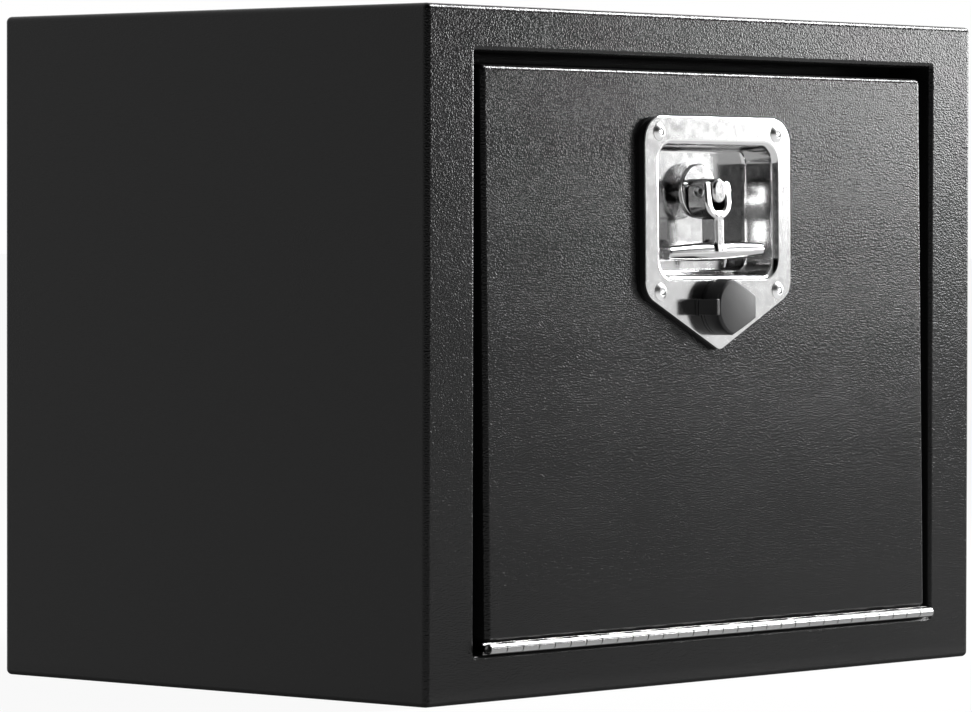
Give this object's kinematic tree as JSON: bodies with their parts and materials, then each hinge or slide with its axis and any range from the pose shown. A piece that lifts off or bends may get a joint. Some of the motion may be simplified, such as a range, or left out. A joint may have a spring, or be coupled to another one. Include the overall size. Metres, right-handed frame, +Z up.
{
  "type": "underbody truck tool box",
  "caption": "Black steel tool box for under a truck bed, with a drop-down front door on a piano hinge, a recessed folding T-handle latch and a capped key lock.",
  "frame": {"origin": "centre of the box's flat bottom face", "axes": "+Z up, +Y from the door to the back, +X to the right for someone facing the door"},
  "size_m": [0.4572, 0.3259, 0.3556],
  "materials": {
    "powder_black": "fine textured black powder coat",
    "stainless": "bright polished stainless sheet",
    "polished_steel": "polished steel casting",
    "hinge_steel": "plain stainless strip",
    "zinc_steel": "zinc plated",
    "lock_steel": "plated lock body",
    "bush_brass": "machined",
    "rubber_black": "matt black rubber"
  },
  "bodies": {
    "box": {"front_frame": "powder_black", "body_wrap": "powder_black", "end_panel_left": "powder_black", "end_panel_right": "powder_black", "door_seal": "rubber_black", "hinge_frame_leaf": "hinge_steel", "hinge_pin": "hinge_steel", "hinge_frame_rivets": "hinge_steel"},
    "door": {"door_skin": "powder_black", "door_liner": "powder_black", "hinge_door_leaf": "hinge_steel", "hinge_door_rivets": "hinge_steel", "latch_plate": "stainless", "latch_gasket": "rubber_black", "latch_rivets": "polished_steel", "spindle_bush": "bush_brass", "lock_housing": "lock_steel", "lock_nut": "zinc_steel", "cap_collar": "rubber_black"},
    "latch_spindle": {"spindle": "polished_steel", "spindle_flange": "polished_steel", "cam_spacer": "zinc_steel", "latch_cam": "zinc_steel", "cam_nut": "zinc_steel"},
    "folding_handle": {"t_handle": "polished_steel", "handle_pin": "polished_steel"},
    "key_plug": {"lock_plug": "lock_steel", "lock_pawl": "zinc_steel", "pawl_screw": "zinc_steel"},
    "flip_cap": {"dust_cap": "rubber_black"}
  },
  "joints": [
    {"name": "door_swing", "type": "hinge", "parent": "box", "child": "door", "pos_m": [0, -0.1585, 0.0276], "axis": [1, 0, 0], "range_deg": [0, 94]},
    {"name": "handle_turn", "type": "hinge", "parent": "door", "child": "latch_spindle", "pos_m": [0, -0.15712, 0.26221], "axis": [0, -0.9999, 0.0148], "range_deg": [0, 90]},
    {"name": "handle_fold", "type": "hinge", "parent": "latch_spindle", "child": "folding_handle", "pos_m": [0, -0.15252, 0.26214], "axis": [-0.9997, -0.0004, -0.0262], "range_deg": [0, 90]},
    {"name": "lock_turn", "type": "hinge", "parent": "door", "child": "key_plug", "pos_m": [0.0003, -0.15804, 0.20021], "axis": [0, 0.9999, -0.0148], "range_deg": [0, 90]},
    {"name": "dust_cap_flip", "type": "hinge", "parent": "door", "child": "flip_cap", "pos_m": [-0.0194, -0.15914, 0.20023], "axis": [0, -0.0148, -0.9999], "range_deg": [0, 90]}
  ],
  "couplings": [
    {"joint": "handle_fold", "follows": "handle_turn", "ratio": 1}
  ]
}
